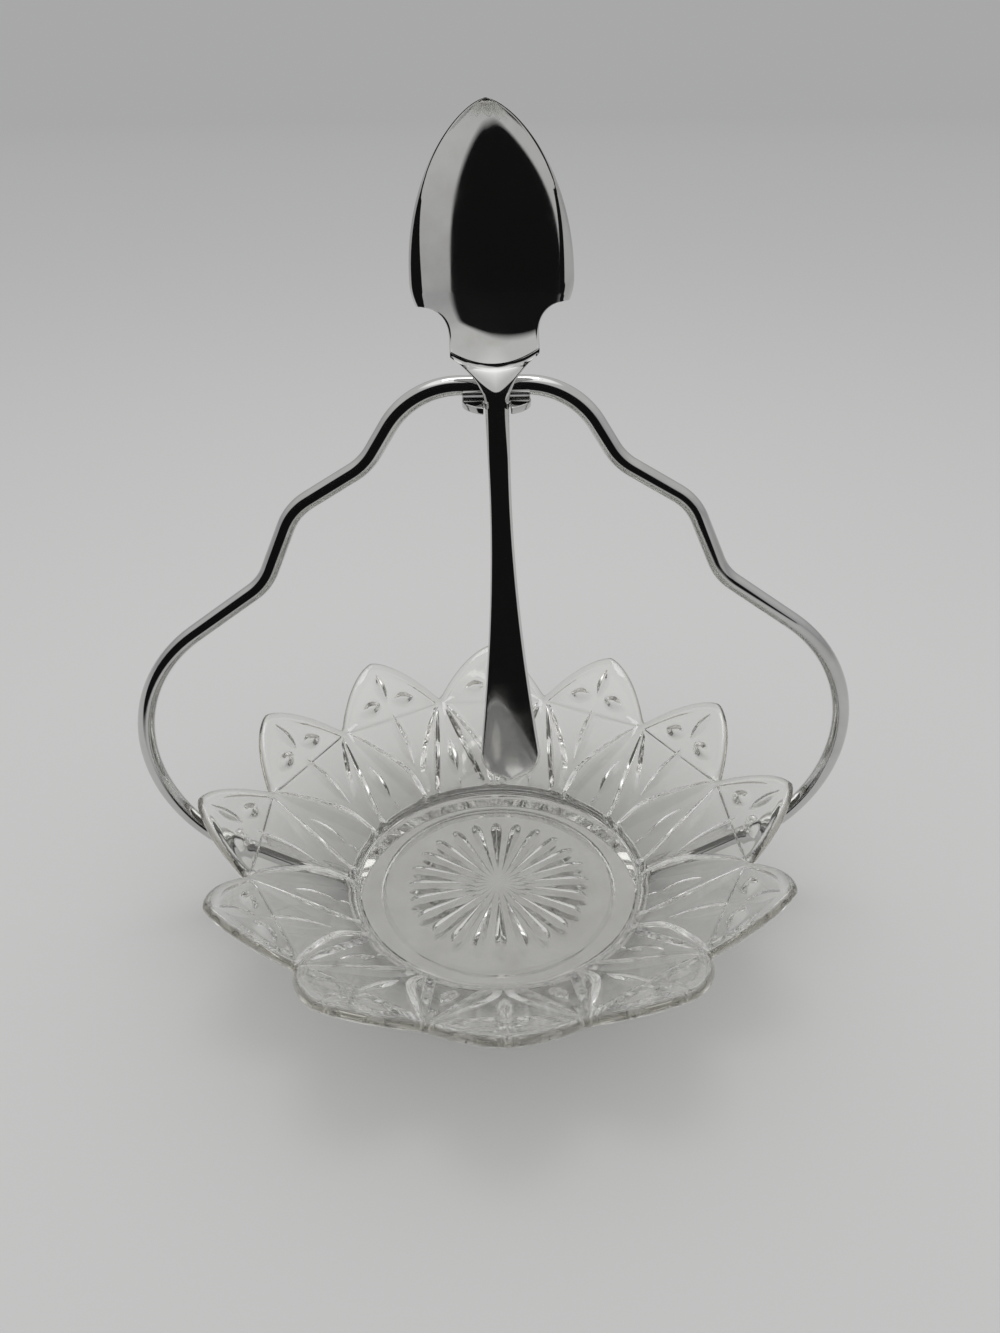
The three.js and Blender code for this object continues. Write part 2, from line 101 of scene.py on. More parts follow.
def new_material(name):
    """An empty procedural material and its shader"""
    material = bpy.data.materials.new(name)
    material.use_nodes = True
    return material, material.node_tree.nodes["Principled BSDF"]


def add_node(tree, kind, links, **values):
    """Add a node, set its own properties and its input values, and link the inputs that come from others"""
    node = tree.nodes.new(kind)
    for key, value in values.items():
        if key in node.inputs:
            node.inputs[key].default_value = value
        else:
            setattr(node, key, value)
    for key, source in links.items():
        tree.links.new(source, node.inputs[key])
    return node


def mix_tint(tree, factor, low, high):
    """A colour between two others, each of them a plain colour or a node's output"""
    mix = add_node(tree, "ShaderNodeMix", {"Factor": factor}, data_type="RGBA")
    for key, tint in (("A", low), ("B", high)):
        if isinstance(tint, tuple):
            mix.inputs[key].default_value = tint
        else:
            tree.links.new(tint, mix.inputs[key])
    return mix.outputs["Result"]


# Plated metal that has been handled: cloudy patches where the polish has dulled, and fine hairlines
# left by wiping, which run one way along the metal.
CLOUD_DETAIL = 4.0
CLOUD_FINENESS = 0.6
DULL_START = 0.42
DULL_FULL = 0.72
WIPE_STRETCH = (1.0, 1.0, 0.06)
HAIRLINE_SCALE = 5200.0
HAIRLINE_DETAIL = 2.0
HAIRLINE_DEPTH = 0.02 * MM

handling = bpy.data.node_groups.new("handling_marks", "ShaderNodeTree")
handling.interface.new_socket("Polish", in_out="INPUT", socket_type="NodeSocketFloat")
handling.interface.new_socket("Haze", in_out="INPUT", socket_type="NodeSocketFloat")
handling.interface.new_socket("Cloud Scale", in_out="INPUT", socket_type="NodeSocketFloat")
handling.interface.new_socket("Roughness", in_out="OUTPUT", socket_type="NodeSocketFloat")
handling.interface.new_socket("Hairlines", in_out="OUTPUT", socket_type="NodeSocketFloat")
handling.interface.new_socket("Dulling", in_out="OUTPUT", socket_type="NodeSocketFloat")
group_in = handling.nodes.new("NodeGroupInput")
group_out = handling.nodes.new("NodeGroupOutput")
place = handling.nodes.new("ShaderNodeTexCoord").outputs["Object"]
clouds = add_node(handling, "ShaderNodeTexNoise",
                  {"Vector": place, "Scale": group_in.outputs["Cloud Scale"]},
                  Detail=CLOUD_DETAIL, Roughness=CLOUD_FINENESS)
dull = add_node(handling, "ShaderNodeMapRange", {"Value": clouds.outputs["Fac"]},
                **{"From Min": DULL_START, "From Max": DULL_FULL})
wipe = add_node(handling, "ShaderNodeMapping", {"Vector": place}, Scale=WIPE_STRETCH)
hairs = add_node(handling, "ShaderNodeTexNoise", {"Vector": wipe.outputs["Vector"]},
                 Scale=HAIRLINE_SCALE, Detail=HAIRLINE_DETAIL)
added = add_node(handling, "ShaderNodeMath",
                 {0: dull.outputs["Result"], 1: group_in.outputs["Haze"], 2: group_in.outputs["Polish"]},
                 operation="MULTIPLY_ADD")
handling.links.new(added.outputs[0], group_out.inputs["Roughness"])
handling.links.new(hairs.outputs["Fac"], group_out.inputs["Hairlines"])
handling.links.new(dull.outputs["Result"], group_out.inputs["Dulling"])


def plated_metal(name, clean, dulled, polish, haze, cloud_scale, hairline):
    """Bright plate whose colour, gloss and surface carry the handling marks"""
    material, shader = new_material(name)
    tree = material.node_tree
    marks = tree.nodes.new("ShaderNodeGroup")
    marks.node_tree = handling
    marks.inputs["Polish"].default_value = polish
    marks.inputs["Haze"].default_value = haze
    marks.inputs["Cloud Scale"].default_value = cloud_scale
    tint = mix_tint(tree, marks.outputs["Dulling"], clean, dulled)
    bump = add_node(tree, "ShaderNodeBump", {"Height": marks.outputs["Hairlines"]},
                    Strength=hairline, Distance=HAIRLINE_DEPTH)
    tree.links.new(tint, shader.inputs["Base Color"])
    tree.links.new(marks.outputs["Roughness"], shader.inputs["Roughness"])
    tree.links.new(bump.outputs["Normal"], shader.inputs["Normal"])
    shader.inputs["Metallic"].default_value = 1.0
    return material


chrome = plated_metal("stand_chrome", clean=(0.66, 0.66, 0.655, 1.0), dulled=(0.58, 0.575, 0.565, 1.0),
                      polish=0.03, haze=0.05, cloud_scale=70.0, hairline=0.04)

bpy.ops.object.select_all(action="DESELECT")
bpy.ops.mesh.primitive_cylinder_add(vertices=TRAY_SIDES, radius=tray_radius, depth=tray_height,
                                    location=(0, 0, tray_height / 2))
tray = start_piece("chrome_tray")
pick(tray, "FACE", lambda p: p.z > tray_height - HAIR)
bpy.ops.mesh.inset(thickness=TRAY_GAUGE)
bpy.ops.mesh.extrude_region_move(TRANSFORM_OT_translate={"value": (0, 0, TRAY_GAUGE - tray_height)})
pick(tray, "EDGE", lambda p: abs(p.z - TRAY_GAUGE) < HAIR)
bpy.ops.mesh.bevel(offset=TRAY_CORNER - TRAY_GAUGE, segments=6)
pick(tray, "EDGE", lambda p: p.z > tray_height - HAIR)
bpy.ops.mesh.bevel(offset=TRAY_RIM_EASE, segments=4)
pick(tray, "EDGE", lambda p: p.z < HAIR)
bpy.ops.mesh.bevel(offset=TRAY_CORNER, segments=8)
close_skin()
bpy.ops.object.shade_smooth_by_angle(angle=CREASE_ANGLE)
place_piece(tray, chrome, "stand", "base_tray")

# Handle rod: one length of round steel rod, bent in a stepped arch and chromium plated, its two ends
# flattened and brazed to the tray's wall. Half of it is bent from the crown to the foot, then mirrored.
ROD_RADIUS = 2 * MM
ROD_SIDES = 32
BEND_STEP = radians(3)
CROWN_HALF_WIDTH = 16.4 * MM
UPPER_RISER = Vector((10.5, -16.2)) * MM
UPPER_TREAD = Vector((16.6, -9.8)) * MM
LOWER_RISER = Vector((8.1, -17.3)) * MM
CROWN_BEND = 18 * MM
STEP_BEND = 14 * MM
SHOULDER_SLOPE = radians(34.9)
ARM_SLOPE = radians(30.5)
ROD_END_RISE = 5.1 * MM
ROD_END_LENGTH = 14 * MM
ROD_END_WIDTH = 7 * MM
ROD_END_HEIGHT = 2.6 * MM
ROD_END_LOOPS = 10
BRAZE_GAP = 0.2 * MM
ROD_SMOOTH_ANGLE = radians(40)

rod_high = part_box("handle_rod")[1]
crown = Vector((CROWN_HALF_WIDTH, rod_high.z - ROD_RADIUS))
upper_step = crown + UPPER_RISER
lower_step = upper_step + UPPER_TREAD
shoulder = lower_step + LOWER_RISER
foot = Vector((tray_radius + BRAZE_GAP, ROD_END_RISE))
hip_slopes = tan(SHOULDER_SLOPE) + tan(ARM_SLOPE)
hip_x = (shoulder.y - foot.y + tan(SHOULDER_SLOPE) * shoulder.x + tan(ARM_SLOPE) * foot.x) / hip_slopes
hip = Vector((hip_x, foot.y + tan(ARM_SLOPE) * (hip_x - foot.x)))
hip_half_corner = (SHOULDER_SLOPE + ARM_SLOPE) / 2
hip_stretch = cos((SHOULDER_SLOPE - ARM_SLOPE) / 2) / sin(hip_half_corner) - 1
hip_bend = (hip.x - (rod_high.x - ROD_RADIUS)) / hip_stretch

rod_corners = [Vector((0, crown.y)), crown, upper_step, lower_step, shoulder, hip, foot]
rod_bends = [0, CROWN_BEND, STEP_BEND, STEP_BEND, STEP_BEND, hip_bend, 0]


def ease(t):
    """A smooth step from 0 to 1"""
    t = np.clip(t, 0, 1)
    return t * t * (3 - 2 * t)


def half_corner(i):
    """Half the angle between the runs that meet at a corner of the rod"""
    back = rod_corners[i - 1] - rod_corners[i]
    return back.angle(rod_corners[i + 1] - rod_corners[i]) / 2


def rod_setbacks():
    """How far from each corner its bend starts; bends that meet on a short run are drawn in alike"""
    inner = range(1, len(rod_corners) - 1)
    wanted = [rod_bends[i] / tan(half_corner(i)) if i in inner else 0 for i in range(len(rod_corners))]
    wanted[-1] = ROD_END_LENGTH
    runs = [(b - a).length for a, b in zip(rod_corners, rod_corners[1:])]
    shares = [min(1, run / (a + b)) for run, a, b in zip(runs, wanted, wanted[1:])]
    return [wanted[i] * min(shares[i - 1], shares[i]) if i in inner else 0 for i in range(len(wanted))]


def push_rod(step):
    """Draw the rod's open end out by a step in the plane of the arch"""
    bpy.ops.mesh.extrude_edges_move(TRANSFORM_OT_translate={"value": (step.x, 0, step.y)})


bpy.ops.mesh.primitive_circle_add(vertices=ROD_SIDES, radius=ROD_RADIUS, rotation=(0, pi / 2, 0),
                                  location=(0, 0, crown.y))
rod = start_piece("bent_rod")
bpy.ops.mesh.select_all(action="SELECT")
reached = rod_corners[0]
for i, setback in list(enumerate(rod_setbacks()))[1:-1]:
    corner = rod_corners[i]
    ahead = (rod_corners[i + 1] - corner).normalized()
    behind = (rod_corners[i - 1] - corner).normalized()
    start = corner + setback * behind
    push_rod(start - reached)
    turn = pi - 2 * half_corner(i)
    middle = corner + (ahead + behind).normalized() * setback / cos(half_corner(i))
    rightwards = behind.x * ahead.y - behind.y * ahead.x > 0
    bpy.ops.mesh.spin(steps=ceil(turn / BEND_STEP), angle=-turn if rightwards else turn,
                      center=(middle.x, 0, middle.y), axis=(0, 1, 0))
    reached = corner + setback * ahead
arm = (foot - reached).normalized()
flat_start = foot - ROD_END_LENGTH * arm
push_rod(flat_start - reached)
for _ in range(ROD_END_LOOPS):
    push_rod(ROD_END_LENGTH / ROD_END_LOOPS * arm)
bpy.ops.mesh.edge_face_add()

# The flat is beaten out sideways and thinned, growing towards the end, which is cut upright
over = Vector((-arm.y, arm.x))
rod_skin = bmesh.from_edit_mesh(rod.data)
for point in rod_skin.verts:
    away = Vector((point.co.x, point.co.z)) - flat_start
    reach = away.dot(arm) / ROD_END_LENGTH
    if reach > 0 and away.length < 2 * ROD_END_LENGTH and point.co.z < flat_start.y + ROD_END_HEIGHT:
        flat = ease(reach)
        thin = away.dot(over) * (flat * (ROD_END_HEIGHT / (2 * ROD_RADIUS) - 1))
        point.co.y *= 1 + flat * (ROD_END_WIDTH / (2 * ROD_RADIUS) - 1)
        point.co.x += thin * over.x
        point.co.z += thin * over.y
        if reach > 1 - HAIR / ROD_END_LENGTH:
            run = (foot.x - point.co.x) / arm.x
            point.co.x += run * arm.x
            point.co.z += run * arm.y
bmesh.update_edit_mesh(rod.data)
bpy.ops.object.mode_set(mode="OBJECT")
other_half = rod.modifiers.new("other_half", "MIRROR")
other_half.merge_threshold = HAIR
bpy.ops.object.modifier_apply(modifier="other_half")
bpy.ops.object.mode_set(mode="EDIT")
close_skin()
bpy.ops.object.shade_smooth_by_angle(angle=ROD_SMOOTH_ANGLE)
place_piece(rod, chrome, "stand", "handle_rod")

# Spoon hook: a small horseshoe stamped from plate, brazed under the crown of the rod and chromium
# plated with it. Its round front has a slot that takes the spoon's neck, and its edges are eased.
HOOK_BACK_CORNER = 2 * MM
HOOK_EDGE = 0.3 * MM
SLOT_HALF_WIDTH = 2.7 * MM
SLOT_BACK = -4.25 * MM
PUNCH_OVERRUN = 4.6 * MM
HOOK_SIDES = 96

hook_low, hook_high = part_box("spoon_hook")
hook_middle = (hook_low.x + hook_high.x) / 2
hook_half_width = (hook_high.x - hook_low.x) / 2
hook_round_y = hook_low.y + hook_half_width

bpy.ops.mesh.primitive_circle_add(vertices=HOOK_SIDES, radius=hook_half_width,
                                  location=(hook_middle, hook_round_y, hook_low.z))
hook = start_piece("spoon_hook_plate")
pick(hook, "VERT", lambda p: p.y > hook_round_y + HAIR)
bpy.ops.mesh.delete(type="VERT")
pick(hook, "VERT", lambda p: p.y > hook_round_y - HAIR)
bpy.ops.mesh.extrude_vertices_move(
    TRANSFORM_OT_translate={"value": (0, hook_high.y - hook_round_y, 0)})
bpy.ops.mesh.edge_face_add()
bpy.ops.mesh.bevel(offset=HOOK_BACK_CORNER, segments=8, affect="VERTICES")
bpy.ops.mesh.select_all(action="SELECT")
bpy.ops.mesh.edge_face_add()
bpy.ops.mesh.extrude_region_move(
    TRANSFORM_OT_translate={"value": (0, 0, hook_high.z - hook_low.z)})
close_skin()

slot_length = SLOT_BACK - hook_low.y + PUNCH_OVERRUN
bpy.ops.mesh.primitive_cube_add(
    size=1, location=(hook_middle, SLOT_BACK - slot_length / 2, hook_low.z),
    scale=(2 * SLOT_HALF_WIDTH, slot_length, 4 * (hook_high.z - hook_low.z)))
slot_punch = bpy.context.object
bpy.ops.object.select_all(action="DESELECT")
bpy.context.view_layer.objects.active = hook
hook.select_set(True)
punch = hook.modifiers.new("slot", "BOOLEAN")
punch.object = slot_punch
bpy.ops.object.modifier_apply(modifier="slot")
bpy.data.objects.remove(slot_punch)
eased = hook.modifiers.new("eased_edges", "BEVEL")
eased.width = HOOK_EDGE
eased.segments = 4
bpy.ops.object.modifier_apply(modifier="eased_edges")
bpy.ops.object.mode_set(mode="EDIT")
close_skin()
bpy.ops.object.shade_smooth_by_angle(angle=CREASE_ANGLE)
place_piece(hook, chrome, "stand", "spoon_hook")

# Glass dish: one pressing of clear glass, plain inside, with twelve petals that fold up at their tips.
# The mould cuts leaves in the outside and a sunburst under the floor, so a wrapped grid takes that relief.
DISH_PETALS = 12
AXIS_COLUMNS = 11
FLUTE_COLUMNS = 15
NOTCH_COLUMNS = 10
AXIS_CROWDING = 1.6
NOTCH_CROWDING = 1.4
TIP_CROWDING = 0.35
WALL_BLEND = 0.1
TIP_BLEND = 0.12
WALL_ROWS = 30
TIP_ROWS = 30
TIP_ROW_CROWDING = 1.5
RIM_ROWS = 7
RIM_CLEAR_ROWS = 2
INNER_WALL_ROWS = 5
INNER_TIP_ROWS = 4
PETAL_LENGTH = 11 * MM
PETAL_SWELL = 1.4
NOTCH_ROUND = 0.07
NOTCH_LIP = 1 * MM
WALL_SLOPE = radians(36.7)
TIP_SLOPE = radians(41)
WALL_THICKNESS = 3.2 * MM
RIM_THICKNESS = 2.6 * MM
RIM_ROUND = 1 * MM
FOOT_RADIUS = 40 * MM
FOOT_WIDTH = 8 * MM
FOOT_HEIGHT = 1.2 * MM
FOOT_CHAMFER = 0.6 * MM
FOOT_CHAMFER_TURNS = np.radians((30, 60, 90))
FLOOR_SINK = 0.4 * MM
FLOOR_FILLET = 0.8 * MM
FLOOR_FILLET_STOPS = (0.4, 0.75)
FLOOR_RING = 20 * MM
RECESS_EASE = 0.1 * MM
EASE_WIDTH = 0.25 * MM
RIM_CLEARANCE = 0.75 * MM
CUT_STEEPNESS = 1.12
FLUTE_FLANK = 2.2 * MM
FLUTE_FILL = 0.85
FLUTE_RUN_OUT = 0.06
FLUTE_INNER_RISE = 0.67
FLUTE_INNER_START = 0.36
FLUTE_INNER_ROUND = 0.14
FLUTE_OUTER_START = 0.32
FLUTE_OUTER_RISE = 0.98
FLUTE_OUTER_CURVE = 0.36
LEAF_FULLNESS = 0.8
PANEL_SINK = 0.45 * MM
PANEL_BORDER = 1.3 * MM
PANEL_FOLD_EASE = 0.5 * MM
PANEL_RIM_EASE = 0.6 * MM
RAYS = 24
RAY_START = 4 * MM
RAY_END = 24.5 * MM
RAY_HALF_WIDTH = 1.7 * MM
RAY_DEPTH = 1.2 * MM
RAY_WIDEST = 0.82
SUNBURST_MARGIN = 0.5 * MM
SUNBURST_ROWS = 19
SUNBURST_CROWDING = 1.6
# Each leaf is given by its two ends and by half its width, on a plan that runs out along the petal's axis
# or, for the second list, along the line under the notch
PETAL_LEAVES = (
    ((50 * MM, 0), (64.5 * MM, 0), 1.6 * MM),
    ((67.8 * MM, 0), (74.4 * MM, 0), 1.6 * MM),
    ((67.4 * MM, 2.2 * MM), (66.5 * MM, 9 * MM), 1.8 * MM),
)
NOTCH_LEAVES = (
    ((45.4 * MM, 0), (55 * MM, 0), 1.9 * MM),
    ((41.8 * MM, 0), (44.2 * MM, 0), 0.9 * MM),
)

dish_low, dish_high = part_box("glass_dish")
half_petal = pi / DISH_PETALS
notch_radius = dish_high.x - PETAL_LENGTH
fold_x = (notch_radius - NOTCH_LIP) * cos(half_petal)
fold_y = fold_x * tan(half_petal)
wall_base = tray_height + RIM_CLEARANCE - tan(WALL_SLOPE) * (tray_radius - FOOT_RADIUS)
fold_height = wall_base + tan(WALL_SLOPE) * (fold_x - FOOT_RADIUS)
inner_base = FOOT_RADIUS - WALL_THICKNESS * sin(WALL_SLOPE)
floor_height = wall_base + WALL_THICKNESS * cos(WALL_SLOPE) - FLOOR_SINK
recess_height = dish_low.z + FOOT_HEIGHT
recess_radius = FOOT_RADIUS - FOOT_WIDTH

half_columns = AXIS_COLUMNS + FLUTE_COLUMNS + NOTCH_COLUMNS
column = np.arange(2 * DISH_PETALS * half_columns + 1)
column_angle = column * half_petal / half_columns
petal = np.round(column / (2 * half_columns)).astype(int)
petal_axis = petal * 2 * half_petal
side = np.sign(column - petal * 2 * half_columns)
step = np.abs(column - petal * 2 * half_columns)


def flute_edges(v):
    """Shares of the half petal between which the broad flute lies, at a height on the wall"""
    above = v - FLUTE_INNER_START
    inner = FLUTE_INNER_RISE * (above + hypot(above, FLUTE_INNER_ROUND))
    return inner, FLUTE_OUTER_START + FLUTE_OUTER_RISE * v - FLUTE_OUTER_CURVE * v ** 2


def wall_share(v):
    """Where the columns stand across half a petal, so that some of them follow the flute's edges"""
    inner, outer = flute_edges(v)
    follow = np.concatenate([
        inner * (np.arange(AXIS_COLUMNS) / AXIS_COLUMNS) ** AXIS_CROWDING,
        inner + (outer - inner) * (1 - np.cos(pi * np.arange(FLUTE_COLUMNS) / FLUTE_COLUMNS)) / 2,
        1 - (1 - outer) * (1 - np.arange(NOTCH_COLUMNS + 1) / NOTCH_COLUMNS) ** NOTCH_CROWDING,
    ])
    even = np.arange(half_columns + 1) / half_columns
    return (even + (follow - even) * ease(v / WALL_BLEND))[step]


def tip_share(w):
    """The same for the tips, where the columns close up at the petal's axis and at the notch"""
    even = step / half_columns
    gathered = even - TIP_CROWDING * np.sin(2 * pi * even) / (2 * pi)
    return wall_share(1) + (gathered - wall_share(1)) * ease(w / TIP_BLEND)


def leaf_cut(x, y, start, end, half_width):
    """Depth of a cut shaped like a leaf, from one point of the petal's plan to another"""
    run = np.subtract(end, start)
    length = hypot(*run)
    along = ((x - start[0]) * run[0] + (y - start[1]) * run[1]) / length ** 2
    aside = ((y - start[1]) * run[0] - (x - start[0]) * run[1]) / length
    swell = np.sin(pi * np.clip(along, 0, 1)) ** LEAF_FULLNESS
    reach = np.maximum(half_width * swell, HAIR)
    return CUT_STEEPNESS * np.clip(reach - np.abs(aside), 0, None)


def flute_cut(share, v):
    """Depth of the broad flute that runs from the notch down to the foot beside the petal's axis"""
    inner, outer = flute_edges(v)
    breadth = FOOT_RADIUS * sin(half_petal) * (1 - v) + fold_y * v
    half_width = (outer - inner) / 2 * breadth
    from_edge = half_width - np.abs(share - (outer + inner) / 2) * breadth
    depth = CUT_STEEPNESS * np.clip(from_edge, 0, min(FLUTE_FLANK, FLUTE_FILL * half_width))
    return depth * ease(v / FLUTE_RUN_OUT) * ease((1 - v) / FLUTE_RUN_OUT)


def petal_cuts(x, y):
    """The mould's relief at plan points of half a petal: the deepest of all the cuts there"""
    around = np.arctan2(y, x) - half_petal
    radius = np.hypot(x, y)
    under_notch = (radius * np.cos(around), radius * np.sin(around))
    cuts = [leaf_cut(x, y, *leaf) for leaf in PETAL_LEAVES]
    cuts += [leaf_cut(*under_notch, *leaf) for leaf in NOTCH_LEAVES]
    return np.max(cuts, axis=0)


def glass_row(x, y, height, slope, lift):
    """One row of the skin from half-petal plan points, lifted inwards square to the slope"""
    radius = np.hypot(x, y)
    shrink = 1 - lift * sin(slope) / radius
    turned = np.arctan2(side * y, x) + petal_axis
    return np.stack([radius * shrink * np.cos(turned), radius * shrink * np.sin(turned),
                     height + lift * cos(slope)], axis=1)


def wall_row(v, lift, is_cut):
    """A row of the wall, which goes over from the round foot to the straight folds of the petals"""
    share = wall_share(v)
    x = (1 - v) * FOOT_RADIUS * np.cos(share * half_petal) + v * fold_x
    y = (1 - v) * FOOT_RADIUS * np.sin(share * half_petal) + v * share * fold_y
    cut = np.maximum(petal_cuts(x, y), flute_cut(share, v)) if is_cut else 0
    height = wall_base + v * (fold_height - wall_base)
    return glass_row(x, y, np.full_like(x, height), WALL_SLOPE, lift + cut)


def tip_row(w, lift, is_cut, draw_back=0):
    """A row of the petal tips, from the fold to the rounded rim, with a panel sunk inside the border"""
    share = tip_share(w)
    dip = 1 - share ** PETAL_SWELL
    rounded = (np.hypot(dip, NOTCH_ROUND) - NOTCH_ROUND) / (hypot(1, NOTCH_ROUND) - NOTCH_ROUND)
    lean = RIM_THICKNESS / 2 * sin(TIP_SLOPE)
    bulge = hypot(lean, RIM_ROUND) - RIM_ROUND
    rim = notch_radius + PETAL_LENGTH * rounded + lean - bulge - draw_back
    run = rim * np.cos(share * half_petal) - fold_x
    x = fold_x + w * run
    y = share * fold_y + w * (rim * np.sin(share * half_petal) - share * fold_y)
    panel = ease(w * run / PANEL_FOLD_EASE) * ease(((1 - w) * run - PANEL_BORDER) / PANEL_RIM_EASE)
    cut = petal_cuts(x, y) + PANEL_SINK * panel if is_cut else 0
    height = fold_height + tan(TIP_SLOPE) * (x - fold_x)
    return glass_row(x, y, height, TIP_SLOPE, lift + cut)


def round_row(radius, height):
    """A plain ring of the skin"""
    return np.stack([radius * np.cos(column_angle), radius * np.sin(column_angle),
                     np.full_like(column_angle, height)], axis=1)


def sunburst_row(radius):
    """A row of the underside, with lancet cuts that widen outwards to a round end"""
    pitch = 2 * pi / RAYS
    off_axis = column_angle - np.round(column_angle / pitch) * pitch
    along = np.clip((radius * np.cos(off_axis) - RAY_START) / (RAY_END - RAY_START), 0, 1)
    ending = np.clip((along - RAY_WIDEST) / (1 - RAY_WIDEST), 0, 1)
    swell = np.minimum(along / RAY_WIDEST, 1) * np.sqrt(1 - ending ** 2)
    reach = np.maximum(RAY_HALF_WIDTH * swell, HAIR)
    cut = RAY_DEPTH * swell * np.clip(1 - np.abs(radius * np.sin(off_axis)) / reach, 0, None)
    row = round_row(radius, recess_height)
    row[:, 2] += cut
    return row


floor_radius = inner_base - FLOOR_FILLET
floor_rings = (0, FLOOR_RING, floor_radius - EASE_WIDTH, floor_radius)
dish_rows = [round_row(radius, floor_height) for radius in floor_rings]
for turn in FLOOR_FILLET_STOPS:
    dish_rows.append(round_row(inner_base - FLOOR_FILLET * (1 - turn), floor_height + FLOOR_SINK * turn ** 2))
for v in np.linspace(0, 1, INNER_WALL_ROWS + 1)[:-1]:
    dish_rows.append(wall_row(v, WALL_THICKNESS, False))
for w in np.linspace(0, 1, INNER_TIP_ROWS + 1)[:-1]:
    thickness = WALL_THICKNESS + w * (RIM_THICKNESS - WALL_THICKNESS)
    dish_rows.append(tip_row(w, thickness, False, RIM_ROUND))
rim_start = len(dish_rows)
for turn in np.radians(np.linspace(90, -90, RIM_ROWS)):
    edge = RIM_THICKNESS / 2 * (1 + sin(turn))
    dish_rows.append(tip_row(1, edge, False, RIM_ROUND * (1 - cos(turn))))
rim_end = len(dish_rows)
for w in np.linspace(1, 0, TIP_ROWS + 1)[1:] ** TIP_ROW_CROWDING:
    dish_rows.append(tip_row(w, 0, True, RIM_ROUND))
for v in np.linspace(1, 0, WALL_ROWS + 1)[1:]:
    dish_rows.append(wall_row(v, 0, True))
foot_bottom = dish_low.z
for drop in (0.5, 1):
    dish_rows.append(round_row(FOOT_RADIUS, wall_base + drop * (foot_bottom + FOOT_CHAMFER - wall_base)))
for turn in FOOT_CHAMFER_TURNS:
    dish_rows.append(round_row(FOOT_RADIUS - FOOT_CHAMFER * (1 - cos(turn)),
                               foot_bottom + FOOT_CHAMFER * (1 - sin(turn))))
for radius, height in ((FOOT_RADIUS - FOOT_CHAMFER - EASE_WIDTH, foot_bottom),
                       (recess_radius + 2 * EASE_WIDTH, foot_bottom),
                       (recess_radius + EASE_WIDTH, foot_bottom),
                       (recess_radius, foot_bottom + RECESS_EASE),
                       (recess_radius - FOOT_HEIGHT, recess_height),
                       (recess_radius - FOOT_HEIGHT - EASE_WIDTH, recess_height)):
    dish_rows.append(round_row(radius, height))
for radius in (RAY_END + SUNBURST_MARGIN) * (1 - np.linspace(0, 1, SUNBURST_ROWS) ** SUNBURST_CROWDING):
    dish_rows.append(sunburst_row(radius))


def math_node(tree, operation, first, second):
    """One step of arithmetic on two values, each of them a plain number or a node's output"""
    links = {key: value for key, value in ((0, first), (1, second)) if not isinstance(value, float)}
    node = add_node(tree, "ShaderNodeMath", links, operation=operation)
    for key, value in ((0, first), (1, second)):
        if isinstance(value, float):
            node.inputs[key].default_value = value
    return node.outputs[0]


def wrap_grid(name, rows, rim_shade_rows=()):
    """A grid whose rows are laid on the given rings, from pole to pole, with some rows marked by the edge
    attribute, which carries the glass rim's painted shade
    """
    bpy.ops.mesh.primitive_grid_add(x_subdivisions=len(rows[0]) - 1, y_subdivisions=len(rows) - 1)
    piece = bpy.context.object
    piece.name = name
    piece.data.name = name
    piece.data.vertices.foreach_set("co", np.concatenate(rows).ravel())
    marks = np.isin(np.arange(len(rows)), rim_shade_rows).repeat(len(rows[0])).astype(float)
    piece.data.attributes.new("edge", "FLOAT", "POINT").data.foreach_set("value", marks)
    bpy.ops.object.mode_set(mode="EDIT")
    close_skin()
    return piece


# The rim's middle rows are marked for the rim's warm tint and painted shade.
dish = wrap_grid("petal_dish", dish_rows, range(rim_start + RIM_CLEAR_ROWS, rim_end - RIM_CLEAR_ROWS))
bpy.ops.object.shade_smooth()

GLASS_CLEAR = (0.98, 0.98, 0.965, 1.0)
GLASS_WARM = (0.965, 0.96, 0.935, 1.0)
# Warm, dark tint of the rim: the thick glass's own warmth, darkened further as painted shade for the rim's
# dark outline.
GLASS_RIM_PAINTED_SHADE = (0.36, 0.345, 0.29, 1.0)
GLASS_SHADE = (0.7, 0.7, 0.685, 1.0)
GLASS_IOR = 1.52
RIPPLE_SCALE = 110.0
RIPPLE_STRENGTH = 0.12
RIPPLE_DEPTH = 0.1 * MM
SMEAR_SCALE = 45.0
SMEAR_DETAIL = 5.0
SMEAR_START = 0.5
SMEAR_FULL = 0.8
SMEAR_ROUGHNESS = 0.035

glass, glass_shader = new_material("clear_glass")
glass_tree = glass.node_tree
glass_place = glass_tree.nodes.new("ShaderNodeTexCoord").outputs["Object"]
ripple = add_node(glass_tree, "ShaderNodeTexNoise", {"Vector": glass_place}, Scale=RIPPLE_SCALE, Detail=1.0)
fire_polish = add_node(glass_tree, "ShaderNodeBump", {"Height": ripple.outputs["Fac"]},
                       Strength=RIPPLE_STRENGTH, Distance=RIPPLE_DEPTH)
smears = add_node(glass_tree, "ShaderNodeTexNoise", {"Vector": glass_place},
                  Scale=SMEAR_SCALE, Detail=SMEAR_DETAIL)
smeared = add_node(glass_tree, "ShaderNodeMapRange", {"Value": smears.outputs["Fac"]},
                   **{"From Min": SMEAR_START, "From Max": SMEAR_FULL,
                      "To Min": 0.0, "To Max": SMEAR_ROUGHNESS})
warmth = mix_tint(glass_tree, smears.outputs["Fac"], GLASS_CLEAR, GLASS_WARM)
